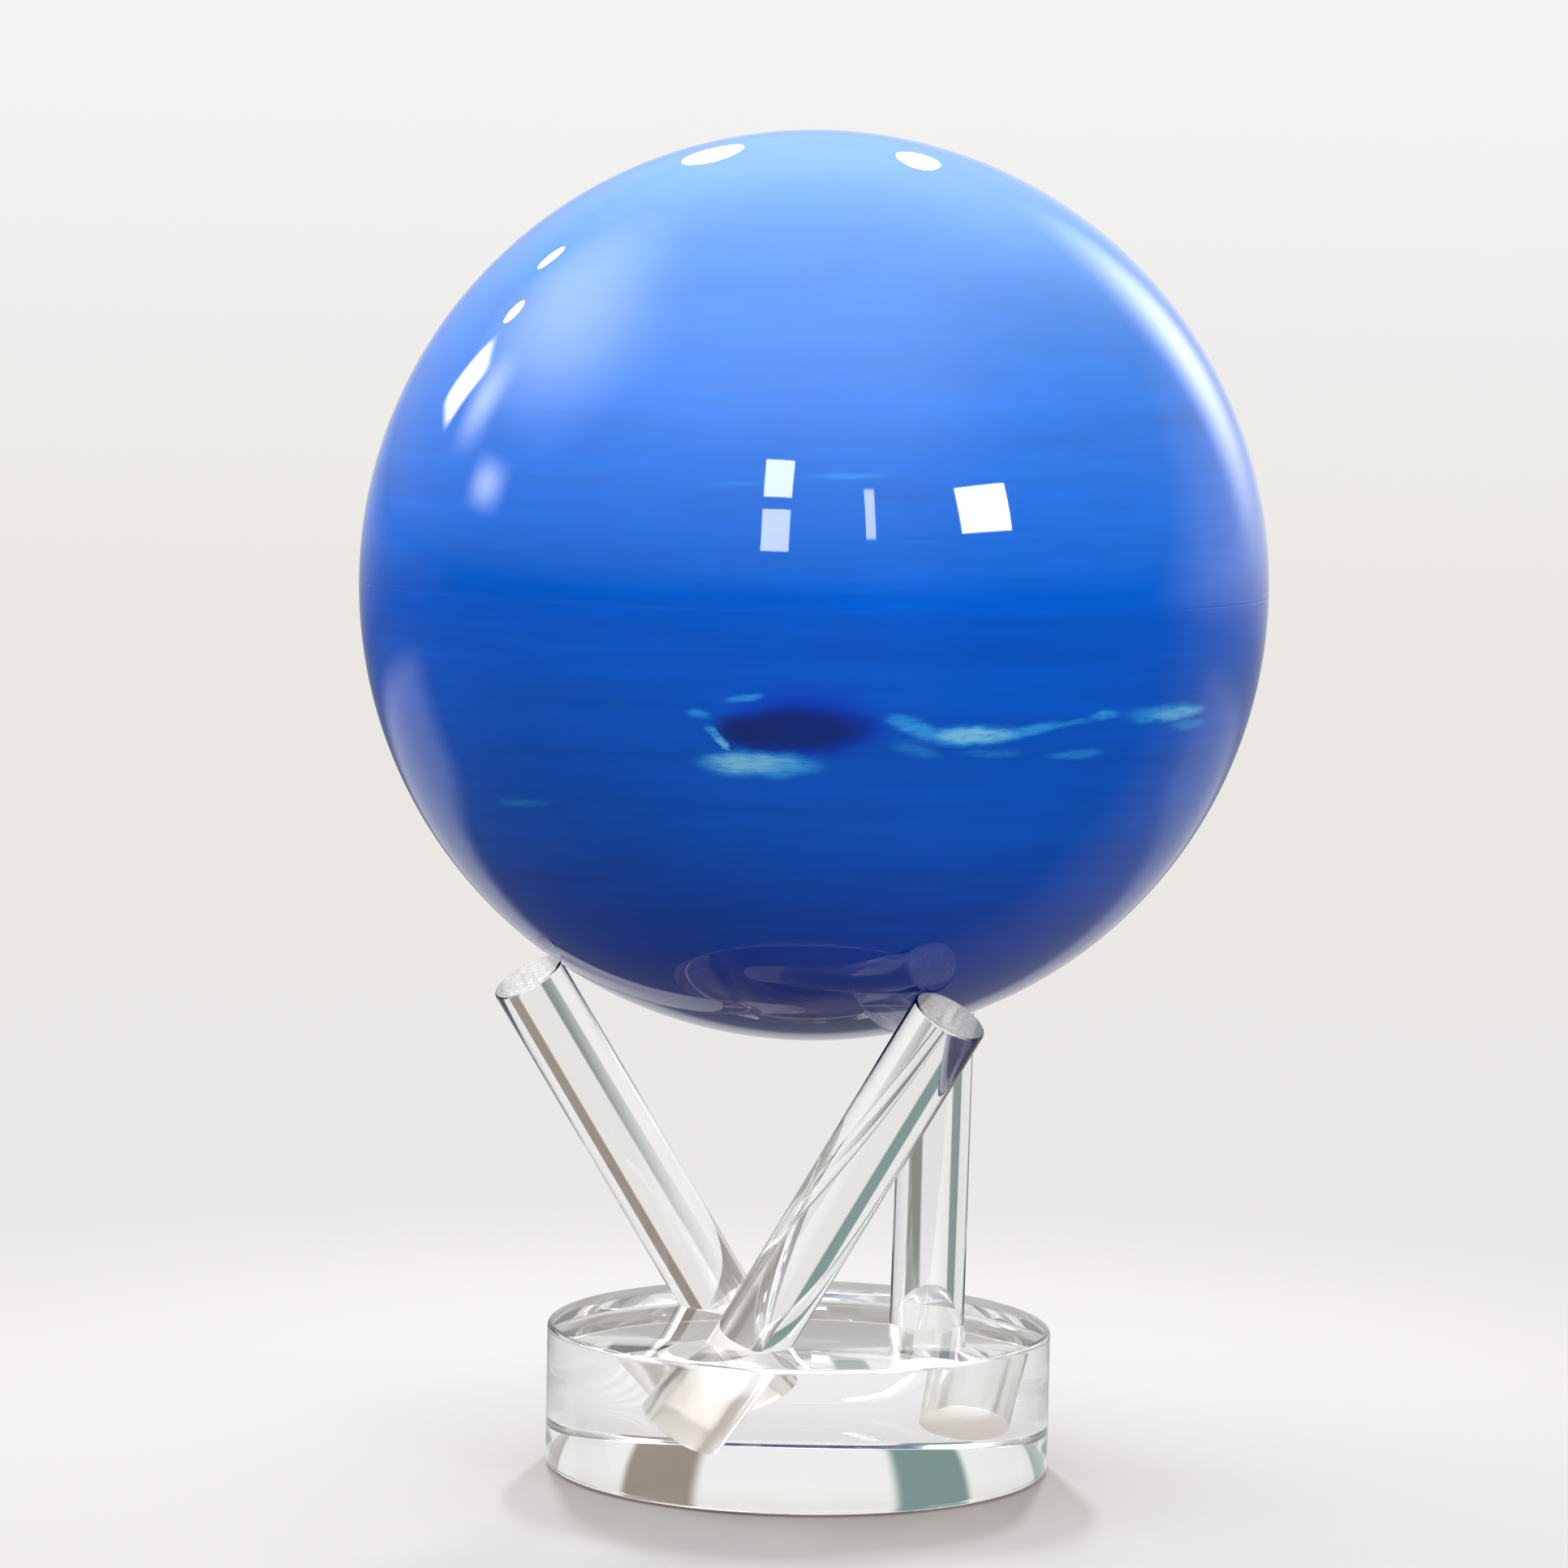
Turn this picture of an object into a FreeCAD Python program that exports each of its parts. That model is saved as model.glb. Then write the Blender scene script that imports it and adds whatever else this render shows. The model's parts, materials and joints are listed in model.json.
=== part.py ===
import FreeCAD, Part
import math
import os

# Desktop globe that turns by itself, resting loosely on a stand of three leaning rods.
# Millimetres, +Z up. The origin is the centre of the stand's underside.
# Everything inside the ball is drawn about the ball's centre and lifted into place at the end.

Vector = FreeCAD.Vector
UP = Vector(0, 0, 1)

# Stand
DISC_RADIUS = 32.0
DISC_HEIGHT = 18.0
DISC_EDGE_ROUND = 0.7
ROD_COUNT = 3
ROD_RADIUS = 4.76
ROD_LENGTH = 64.3
ROD_EDGE_BEVEL = 0.25
ROD_FOOT_RADIUS = 16.5      # where a rod's axis meets the disc's top
ROD_FOOT_ANGLE = 8.4        # degrees about Z, for the first rod
ROD_TILT = 32.8             # degrees from vertical
ROD_LEAN_ANGLE = 87.3       # degrees about Z, the way the first rod leans
SOCKET_DEPTH = 12.5         # along the rod's axis
SOCKET_CLEARANCE = 0.04
SOCKET_END_GAP = 0.2
BALL_REST_GAP = 0.15        # between the ball and each rod's end edge

# Outer globe: two clear halves, lapped at the equator, filled with fluid
OUTER_RADIUS = 57.15
OUTER_WALL = 3.0
LAP_HEIGHT = 1.2
FLUID_CLEARANCE = 0.3       # between the fluid and the turning inner globe
PLUG_HEAD_RADIUS = 3.1
PLUG_SHANK_RADIUS = 2.1
PLUG_HEAD_DEPTH = 1.4
PLUG_CLEARANCE = 0.1
SEAL_THICKNESS = 0.5

# Inner globe: two sealed halves under a printed skin
SKIN_RADIUS = 52.1
SKIN_THICKNESS = 0.3
INNER_WALL = 2.0
JOINT_RING_WALL = 1.1
JOINT_RING_GLUE_GAP = 0.2
JOINT_RING_HALF_HEIGHT = 3.8
LEDGE_INNER_RADIUS = 44.0
LEDGE_THICKNESS = 2.0

# Carrier plate and what it holds; heights are from the ball's centre
PLATE_TOP = -4.0
PLATE_THICKNESS = 2.0
PLATE_RADIUS = 49.3
PLATE_BORE_RADIUS = 3.5
SCREW_CIRCLE_RADIUS = 46.5
SCREW_SHANK_RADIUS = 1.0
SCREW_HEAD_RADIUS = 1.9
SCREW_HEAD_HEIGHT = 1.3
SCREW_SLOT_WIDTH = 0.6
SCREW_SLOT_DEPTH = 0.6
CELL_COUNT = 4
CELL_CENTRE_RADIUS = 27.0
CELL_LENGTH = 20.0
CELL_WIDTH = 26.0
CELL_THICKNESS = 1.2
COIL_CENTRE_RADIUS = 24.0
COIL_OUTER_RADIUS = 9.0
COIL_INNER_RADIUS = 4.0
COIL_HEIGHT = 4.5
COIL_EDGE_ROUND = 1.0

# Bearings of the compass rotor
BRIDGE_HALF_SPAN = 44.0
BRIDGE_WIDTH = 8.0
BRIDGE_LEG = 3.0
BRIDGE_BAR_BOTTOM = 12.0
BRIDGE_BAR_THICKNESS = 3.0
BRIDGE_FOOT_LENGTH = 9.0
BRIDGE_FOOT_THICKNESS = 1.5
JEWEL_RADIUS = 2.5
JEWEL_THICKNESS = 2.0
JEWEL_CUP_RADIUS = 0.58
JEWEL_CUP_DEPTH = 1.0
POST_TOP = -26.0
POST_RADIUS = 4.0
POST_FLANGE_RADIUS = 8.0
POST_FLANGE_THICKNESS = 2.0
POST_SPIGOT_RADIUS = 3.0
POST_SPIGOT_LENGTH = 6.0
BALLAST_TOP = -33.0
BALLAST_GLUE_GAP = 0.1

# Compass rotor
SPINDLE_RADIUS = 1.5
PIVOT_RADIUS = 0.5
PIVOT_END_GAP = 0.15
SPINDLE_SHOULDER_GAP = 0.3
MAGNET_LENGTH = 56.0
MAGNET_WIDTH = 10.0
MAGNET_BOTTOM = -20.0
MAGNET_HEIGHT = 7.0
HOLDER_SLEEVE_RADIUS = 2.6
HOLDER_FLANGE_RADIUS = 5.5
HOLDER_FLANGE_THICKNESS = 1.5
HOLDER_SLEEVE_STAND = 1.0   # above the magnet
SHADE_RADIUS = 36.0
SHADE_BOTTOM = 2.0
SHADE_THICKNESS = 0.5
SHADE_HUB_RADIUS = 4.5
SHADE_HUB_HEIGHT = 3.0

PAST = 1.0                  # how far a cutting shape runs past what it cuts


def cylinder(radius, low, high, x=0.0, y=0.0):
    return Part.makeCylinder(radius, high - low, Vector(x, y, low), UP)


def ring(inner_radius, outer_radius, low, high):
    return cylinder(outer_radius, low, high).cut(cylinder(inner_radius, low - PAST, high + PAST))


def block(x_low, x_high, y_low, y_high, low, high):
    return Part.makeBox(x_high - x_low, y_high - y_low, high - low, Vector(x_low, y_low, low))


def turned(shape, degrees):
    copy = shape.copy()
    copy.rotate(Vector(0, 0, 0), UP, degrees)
    return copy


def half_space(upper):
    reach = 2 * OUTER_RADIUS
    low, high = (0.0, reach) if upper else (-reach, 0.0)
    return block(-reach, reach, -reach, reach, low, high)


def whole_shell(outer_radius, wall):
    return Part.makeSphere(outer_radius).cut(Part.makeSphere(outer_radius - wall))


def half_shell(outer_radius, wall, upper):
    return whole_shell(outer_radius, wall).common(half_space(upper))


# ---------------------------------------------------------------- stand

def rod_direction():
    tilt = math.radians(ROD_TILT)
    lean = math.radians(ROD_LEAN_ANGLE)
    return Vector(math.sin(tilt) * math.cos(lean), math.sin(tilt) * math.sin(lean), math.cos(tilt))


def rod_foot():
    angle = math.radians(ROD_FOOT_ANGLE)
    return Vector(ROD_FOOT_RADIUS * math.cos(angle), ROD_FOOT_RADIUS * math.sin(angle), DISC_HEIGHT)


def rod_start():
    return rod_foot() - rod_direction() * (SOCKET_DEPTH - SOCKET_END_GAP)


def first_rod():
    rod = Part.makeCylinder(ROD_RADIUS, ROD_LENGTH, rod_start(), rod_direction())
    rims = [edge for edge in rod.Edges if len(edge.Vertexes) == 1]
    return rod.makeChamfer(ROD_EDGE_BEVEL, rims)


def first_socket():
    bottom = rod_foot() - rod_direction() * SOCKET_DEPTH
    overrun = 2 * SOCKET_DEPTH
    radius = ROD_RADIUS + SOCKET_CLEARANCE
    return Part.makeCylinder(radius, SOCKET_DEPTH + overrun, bottom, rod_direction())


def base_disc():
    disc = cylinder(DISC_RADIUS, 0.0, DISC_HEIGHT)
    rims = [edge for edge in disc.Edges if len(edge.Vertexes) == 1]
    disc = disc.makeFillet(DISC_EDGE_ROUND, rims)
    for index in range(ROD_COUNT):
        disc = disc.cut(turned(first_socket(), 360.0 / ROD_COUNT * index))
    return disc


def distance_to_rod_rim(ball_centre_height):
    """Shortest distance from the ball's centre to the top edge of a rod."""
    tip = rod_start() + rod_direction() * ROD_LENGTH
    to_centre = Vector(0, 0, ball_centre_height) - tip
    along = to_centre.dot(rod_direction())
    across = math.sqrt(to_centre.dot(to_centre) - along * along)
    return math.hypot(along, across - ROD_RADIUS + ROD_EDGE_BEVEL)


def ball_centre_height():
    """Lower the ball until its surface is BALL_REST_GAP from the rods' top edges."""
    low = DISC_HEIGHT + ROD_LENGTH
    high = low + 2 * OUTER_RADIUS
    while high - low > 1e-6:
        middle = (low + high) / 2
        if distance_to_rod_rim(middle) > OUTER_RADIUS + BALL_REST_GAP:
            high = middle
        else:
            low = middle
    return (low + high) / 2


# ---------------------------------------------------------------- outer globe

def outer_half(upper):
    """The upper half has a tongue that reaches down inside the lower half's rim."""
    half = half_shell(OUTER_RADIUS, OUTER_WALL, upper)
    tongue = whole_shell(OUTER_RADIUS, OUTER_WALL)
    tongue = tongue.common(cylinder(OUTER_RADIUS - OUTER_WALL / 2, -LAP_HEIGHT, 0.0))
    if upper:
        return half.fuse(tongue).removeSplitter()
    return half.cut(tongue)


def plug_head_floor():
    return -OUTER_RADIUS + PLUG_HEAD_DEPTH


def plug_hole():
    below = -OUTER_RADIUS - PAST
    above = -OUTER_RADIUS + 2 * OUTER_WALL
    recess = cylinder(PLUG_HEAD_RADIUS + PLUG_CLEARANCE, below, plug_head_floor() + SEAL_THICKNESS)
    bore = cylinder(PLUG_SHANK_RADIUS + PLUG_CLEARANCE, below, above)
    return recess.fuse(bore)


def fill_plug():
    below = -OUTER_RADIUS - PAST
    above = -OUTER_RADIUS + 2 * OUTER_WALL
    head = cylinder(PLUG_HEAD_RADIUS, below, plug_head_floor())
    shank = cylinder(PLUG_SHANK_RADIUS, below, above)
    return head.fuse(shank).common(whole_shell(OUTER_RADIUS, OUTER_WALL))


def plug_seal():
    low = plug_head_floor()
    return ring(PLUG_SHANK_RADIUS, PLUG_HEAD_RADIUS, low, low + SEAL_THICKNESS)


def suspension_fluid():
    outside_radius = OUTER_RADIUS - OUTER_WALL
    return whole_shell(outside_radius, outside_radius - SKIN_RADIUS - FLUID_CLEARANCE)


# ---------------------------------------------------------------- inner globe

def inner_radius_outside():
    return SKIN_RADIUS - SKIN_THICKNESS


def inner_cavity_radius():
    return inner_radius_outside() - INNER_WALL


def inner_lower_half():
    half = half_shell(inner_radius_outside(), INNER_WALL, False)
    ledge_top = PLATE_TOP - PLATE_THICKNESS
    ledge = ring(LEDGE_INNER_RADIUS, OUTER_RADIUS, ledge_top - LEDGE_THICKNESS, ledge_top)
    ledge = ledge.common(Part.makeSphere(inner_radius_outside() - INNER_WALL / 2))
    half = half.fuse(ledge).removeSplitter()
    for x, y in plate_screw_places():
        half = half.cut(cylinder(SCREW_SHANK_RADIUS, ledge_top - 2 * LEDGE_THICKNESS, 0.0, x, y))
    return half


def joint_ring():
    outer = inner_cavity_radius() - JOINT_RING_GLUE_GAP
    return ring(outer - JOINT_RING_WALL, outer, -JOINT_RING_HALF_HEIGHT, JOINT_RING_HALF_HEIGHT)


def plate_screw_places():
    quarter_turns = [math.pi / 2 * index for index in range(CELL_COUNT)]
    radius = SCREW_CIRCLE_RADIUS
    return [(radius * math.cos(angle), radius * math.sin(angle)) for angle in quarter_turns]


def bridge_screw_places():
    reach = BRIDGE_HALF_SPAN - BRIDGE_LEG - BRIDGE_FOOT_LENGTH / 2
    return [(-reach, 0.0), (reach, 0.0)]


def screw(x, y, seat, tip):
    head_top = seat + SCREW_HEAD_HEIGHT
    shank = cylinder(SCREW_SHANK_RADIUS, tip, seat, x, y)
    head = cylinder(SCREW_HEAD_RADIUS, seat, head_top, x, y)
    half_slot = SCREW_SLOT_WIDTH / 2
    reach = SCREW_HEAD_RADIUS + PAST
    floor = head_top - SCREW_SLOT_DEPTH
    slot = block(x - reach, x + reach, y - half_slot, y + half_slot, floor, head_top + PAST)
    return shank.fuse(head).cut(slot).removeSplitter()


def carrier_screws():
    tip = PLATE_TOP - PLATE_THICKNESS - LEDGE_THICKNESS
    return Part.makeCompound([screw(x, y, PLATE_TOP, tip) for x, y in plate_screw_places()])


def bridge_screws():
    seat = PLATE_TOP + BRIDGE_FOOT_THICKNESS
    tip = PLATE_TOP - PLATE_THICKNESS
    return Part.makeCompound([screw(x, y, seat, tip) for x, y in bridge_screw_places()])


def carrier_plate():
    bottom = PLATE_TOP - PLATE_THICKNESS
    plate = ring(PLATE_BORE_RADIUS, PLATE_RADIUS, bottom, PLATE_TOP)
    for x, y in plate_screw_places() + bridge_screw_places():
        plate = plate.cut(cylinder(SCREW_SHANK_RADIUS, bottom - PAST, PLATE_TOP + PAST, x, y))
    return plate


def solar_cell(index):
    near = CELL_CENTRE_RADIUS - CELL_LENGTH / 2
    far = CELL_CENTRE_RADIUS + CELL_LENGTH / 2
    half_width = CELL_WIDTH / 2
    cell = block(near, far, -half_width, half_width, PLATE_TOP, PLATE_TOP + CELL_THICKNESS)
    return turned(cell, 360.0 / CELL_COUNT * (index + 0.5))


def drive_coil(index):
    top = PLATE_TOP - PLATE_THICKNESS
    coil = ring(COIL_INNER_RADIUS, COIL_OUTER_RADIUS, top - COIL_HEIGHT, top)
    lower_rims = [edge for edge in coil.Edges if edge.BoundBox.ZMax < top - COIL_HEIGHT / 2]
    coil = coil.makeFillet(COIL_EDGE_ROUND, lower_rims)
    coil.translate(Vector(COIL_CENTRE_RADIUS, 0, 0))
    return turned(coil, 360.0 / CELL_COUNT * (index + 0.5))


def bearing_bridge():
    half_width = BRIDGE_WIDTH / 2
    bar_top = BRIDGE_BAR_BOTTOM + BRIDGE_BAR_THICKNESS
    inside = BRIDGE_HALF_SPAN - BRIDGE_LEG
    foot_top = PLATE_TOP + BRIDGE_FOOT_THICKNESS
    bar = block(-BRIDGE_HALF_SPAN, BRIDGE_HALF_SPAN, -half_width, half_width, BRIDGE_BAR_BOTTOM, bar_top)
    side = block(inside, BRIDGE_HALF_SPAN, -half_width, half_width, PLATE_TOP, bar_top)
    foot = block(inside - BRIDGE_FOOT_LENGTH, inside, -half_width, half_width, PLATE_TOP, foot_top)
    leg = side.fuse(foot)
    bridge = bar.fuse([leg, turned(leg, 180.0)]).removeSplitter()
    jewel_top = BRIDGE_BAR_BOTTOM + JEWEL_THICKNESS
    bridge = bridge.cut(cylinder(JEWEL_RADIUS, BRIDGE_BAR_BOTTOM - PAST, jewel_top))
    for x, y in bridge_screw_places():
        bridge = bridge.cut(cylinder(SCREW_SHANK_RADIUS, PLATE_TOP - PAST, foot_top + PAST, x, y))
    return bridge


def upper_jewel():
    cup_top = BRIDGE_BAR_BOTTOM + JEWEL_CUP_DEPTH
    jewel = cylinder(JEWEL_RADIUS, BRIDGE_BAR_BOTTOM, BRIDGE_BAR_BOTTOM + JEWEL_THICKNESS)
    return jewel.cut(cylinder(JEWEL_CUP_RADIUS, BRIDGE_BAR_BOTTOM - PAST, cup_top))


def lower_jewel():
    jewel = cylinder(JEWEL_RADIUS, POST_TOP - JEWEL_THICKNESS, POST_TOP)
    return jewel.cut(cylinder(JEWEL_CUP_RADIUS, POST_TOP - JEWEL_CUP_DEPTH, POST_TOP + PAST))


def bearing_post():
    shaft = cylinder(POST_RADIUS, BALLAST_TOP, POST_TOP)
    flange = cylinder(POST_FLANGE_RADIUS, BALLAST_TOP, BALLAST_TOP + POST_FLANGE_THICKNESS)
    spigot = cylinder(POST_SPIGOT_RADIUS, BALLAST_TOP - POST_SPIGOT_LENGTH, BALLAST_TOP)
    post = shaft.fuse([flange, spigot]).removeSplitter()
    return post.cut(cylinder(JEWEL_RADIUS, POST_TOP - JEWEL_THICKNESS, POST_TOP + PAST))


def ballast_weight():
    ball = Part.makeSphere(inner_cavity_radius() - BALLAST_GLUE_GAP)
    reach = 2 * OUTER_RADIUS
    bowl = ball.common(block(-reach, reach, -reach, reach, -reach, BALLAST_TOP))
    return bowl.cut(cylinder(POST_SPIGOT_RADIUS, BALLAST_TOP - POST_SPIGOT_LENGTH, BALLAST_TOP + PAST))


# ---------------------------------------------------------------- compass rotor

def rotor_spindle():
    low = POST_TOP + SPINDLE_SHOULDER_GAP
    high = BRIDGE_BAR_BOTTOM - SPINDLE_SHOULDER_GAP
    pivot_low = POST_TOP - JEWEL_CUP_DEPTH + PIVOT_END_GAP
    pivot_high = BRIDGE_BAR_BOTTOM + JEWEL_CUP_DEPTH - PIVOT_END_GAP
    return cylinder(SPINDLE_RADIUS, low, high).fuse(cylinder(PIVOT_RADIUS, pivot_low, pivot_high))


def compass_magnet():
    half_length = MAGNET_LENGTH / 2
    half_width = MAGNET_WIDTH / 2
    top = MAGNET_BOTTOM + MAGNET_HEIGHT
    bar = block(-half_width, half_width, -half_length, half_length, MAGNET_BOTTOM, top)
    return bar.cut(cylinder(HOLDER_SLEEVE_RADIUS, MAGNET_BOTTOM - PAST, top + PAST))


def magnet_holder():
    flange_bottom = MAGNET_BOTTOM - HOLDER_FLANGE_THICKNESS
    flange = cylinder(HOLDER_FLANGE_RADIUS, flange_bottom, MAGNET_BOTTOM)
    sleeve_top = MAGNET_BOTTOM + MAGNET_HEIGHT + HOLDER_SLEEVE_STAND
    sleeve = cylinder(HOLDER_SLEEVE_RADIUS, flange_bottom, sleeve_top)
    holder = flange.fuse(sleeve).removeSplitter()
    return holder.cut(cylinder(SPINDLE_RADIUS, flange_bottom - PAST, sleeve_top + PAST))


def shade_disc():
    top = SHADE_BOTTOM + SHADE_THICKNESS
    half_disc = cylinder(SHADE_RADIUS, SHADE_BOTTOM, top)
    half_disc = half_disc.common(block(0.0, SHADE_RADIUS, -SHADE_RADIUS, SHADE_RADIUS, SHADE_BOTTOM, top))
    hub = cylinder(SHADE_HUB_RADIUS, SHADE_BOTTOM, SHADE_BOTTOM + SHADE_HUB_HEIGHT)
    shade = half_disc.fuse(hub).removeSplitter()
    return shade.cut(cylinder(SPINDLE_RADIUS, SHADE_BOTTOM - PAST, SHADE_BOTTOM + SHADE_HUB_HEIGHT + PAST))


# ---------------------------------------------------------------- the whole object

def stand_nodes():
    nodes = {"base_disc": base_disc()}
    for index in range(ROD_COUNT):
        nodes["support_rod_%d" % (index + 1)] = turned(first_rod(), 360.0 / ROD_COUNT * index)
    return nodes


def ball_nodes():
    nodes = {
        "outer_shell_upper": outer_half(True),
        "outer_shell_lower": outer_half(False).cut(plug_hole()),
        "fill_plug": fill_plug(),
        "plug_seal": plug_seal(),
        "suspension_fluid": suspension_fluid(),
        "graphic_skin_upper": half_shell(SKIN_RADIUS, SKIN_THICKNESS, True),
        "graphic_skin_lower": half_shell(SKIN_RADIUS, SKIN_THICKNESS, False),
        "inner_globe_upper": half_shell(inner_radius_outside(), INNER_WALL, True),
        "inner_globe_lower": inner_lower_half(),
        "joint_ring": joint_ring(),
        "carrier_plate": carrier_plate(),
        "carrier_screws": carrier_screws(),
        "bearing_bridge": bearing_bridge(),
        "bridge_screws": bridge_screws(),
        "upper_jewel": upper_jewel(),
        "lower_jewel": lower_jewel(),
        "bearing_post": bearing_post(),
        "ballast_weight": ballast_weight(),
        "rotor_spindle": rotor_spindle(),
        "compass_magnet": compass_magnet(),
        "magnet_holder": magnet_holder(),
        "shade_disc": shade_disc(),
    }
    for index in range(CELL_COUNT):
        nodes["solar_cell_%d" % (index + 1)] = solar_cell(index)
        nodes["drive_coil_%d" % (index + 1)] = drive_coil(index)
    lift = Vector(0, 0, ball_centre_height())
    for shape in nodes.values():
        shape.translate(lift)
    return nodes


def main():
    os.makedirs("parts", exist_ok=True)
    nodes = stand_nodes()
    nodes.update(ball_nodes())
    for name, shape in sorted(nodes.items()):
        shape.exportStep("parts/%s.step" % name)
        facts = (name, shape.Volume, shape.isValid(), len(shape.Solids))
        print("%-20s %9.1f mm3, valid %s, %d solid(s)" % facts)
    print("ball centre height %.3f mm" % ball_centre_height())


main()
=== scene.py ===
import json
import math

import bmesh
import bpy
from mathutils import Matrix, Vector


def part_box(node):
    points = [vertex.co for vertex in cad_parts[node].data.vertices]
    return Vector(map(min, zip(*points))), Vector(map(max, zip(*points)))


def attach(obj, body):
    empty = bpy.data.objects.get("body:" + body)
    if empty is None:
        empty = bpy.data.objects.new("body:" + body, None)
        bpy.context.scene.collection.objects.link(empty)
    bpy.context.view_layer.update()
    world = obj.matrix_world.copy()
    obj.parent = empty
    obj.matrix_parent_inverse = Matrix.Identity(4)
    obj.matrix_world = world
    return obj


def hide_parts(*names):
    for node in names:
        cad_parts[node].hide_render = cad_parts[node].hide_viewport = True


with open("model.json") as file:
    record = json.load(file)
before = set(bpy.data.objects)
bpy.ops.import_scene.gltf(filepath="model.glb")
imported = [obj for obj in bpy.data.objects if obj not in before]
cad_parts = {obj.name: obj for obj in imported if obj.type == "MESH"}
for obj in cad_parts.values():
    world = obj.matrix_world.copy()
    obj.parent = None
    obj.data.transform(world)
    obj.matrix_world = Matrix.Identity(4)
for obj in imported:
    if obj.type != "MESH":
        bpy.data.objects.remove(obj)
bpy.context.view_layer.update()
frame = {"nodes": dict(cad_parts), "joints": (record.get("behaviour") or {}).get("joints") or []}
JOINTS = {joint["name"]: joint for joint in frame["joints"]}

# Places and sizes, in metres, from the frame
BALL_CENTRE = Vector(JOINTS["globe_spin"]["pos_m"])
BALL_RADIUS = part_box("outer_shell_upper")[1].x
SKIN_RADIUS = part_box("graphic_skin_upper")[1].x
DISC_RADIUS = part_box("base_disc")[1].x
DISC_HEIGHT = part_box("base_disc")[1].z
PLUG_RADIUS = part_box("fill_plug")[1].x

# The stand's shape; the rods' places come from the frame
ROD_COUNT = 3
ROD_RADIUS = 0.00476
ROD_LENGTH = 0.0643
ROD_TILT = math.radians(32.8)
FIRST_ROD_LEAN = math.radians(87.3)
ROD_EDGE = 0.00025
SOCKET_RADIUS = 0.0048
SOCKET_END_GAP = 0.0002
DISC_EDGE = 0.0007

# Fine detail on the clear ball
SEAM_HALF_WIDTH = 0.00010
SEAM_DEPTH = 0.00002
SKIN_THICKNESS = 0.0003

ROUND_STEPS = 256
ARC_STEPS = 96
EDGE_STEPS = 6
ROD_STEPS = 96
SWEEP_STEPS = 24
SHARP_ANGLE = math.radians(32)

ACRYLIC_IOR = 1.49
# Colour of each clear part, and how much lamp light and soft light it lets through
SHELL_TINT, SHELL_LIGHT = (1.0, 1.0, 1.0), (1.0, 1.0, 1.0)
DISC_TINT, DISC_LIGHT = (0.985, 0.995, 0.99), (0.47, 0.425, 0.38)
ROD_TINT, ROD_LIGHT = (0.99, 0.995, 0.995), (0.85, 0.85, 0.85)
MATT_TINT, MATT_LIGHT = (0.93, 0.94, 0.95), (0.9, 0.9, 0.9)
MATT_TRANSMISSION = 0.85
FULL_TURN = 2 * math.pi


# ---------------------------------------------------------------- meshes

def arc(centre, radius, start, end, steps):
    """Points of a circular arc in the (distance from axis, height) plane, angles in radians."""
    angles = [start + (end - start) * step / steps for step in range(steps + 1)]
    return [(centre[0] + radius * math.cos(a), centre[1] + radius * math.sin(a)) for a in angles]


def lathe(name, profile, steps=ROUND_STEPS, closed=False, capped=True):
    """Turn a profile of (distance from axis, height) points about Z. It runs up the outside.

    A point on the axis becomes a pole. An open profile that ends off the axis gets a flat cap.
    """
    mesh = bpy.data.meshes.new(name)
    bm = bmesh.new()
    rings = []
    for distance, height in profile:
        if distance < 1e-9:
            rings.append([bm.verts.new((0, 0, height))])
            continue
        angles = [FULL_TURN * step / steps for step in range(steps)]
        rings.append([bm.verts.new((distance * math.cos(a), distance * math.sin(a), height)) for a in angles])
    pairs = list(zip(rings, rings[1:]))
    if closed:
        pairs.append((rings[-1], rings[0]))
    for lower, upper in pairs:
        if len(lower) == 1 and len(upper) == 1:
            continue
        for step in range(steps):
            after = (step + 1) % steps
            corners = [lower[step % len(lower)], lower[after % len(lower)],
                       upper[after % len(upper)], upper[step % len(upper)]]
            bm.faces.new(list(dict.fromkeys(corners)))
    if capped and not closed:
        if len(rings[0]) > 1:
            bm.faces.new(list(reversed(rings[0])))
        if len(rings[-1]) > 1:
            bm.faces.new(rings[-1])
    for face in bm.faces:
        face.smooth = True
    bm.to_mesh(mesh)
    bm.free()
    mesh.set_sharp_from_angle(angle=SHARP_ANGLE)
    piece = bpy.data.objects.new(name, mesh)
    bpy.context.scene.collection.objects.link(piece)
    return piece


def keep_result(piece):
    """Turn a piece's modifiers into its mesh."""
    evaluated = piece.evaluated_get(bpy.context.evaluated_depsgraph_get())
    mesh = bpy.data.meshes.new_from_object(evaluated)
    piece.modifiers.clear()
    piece.data = mesh


# ---------------------------------------------------------------- shader nodes

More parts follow.
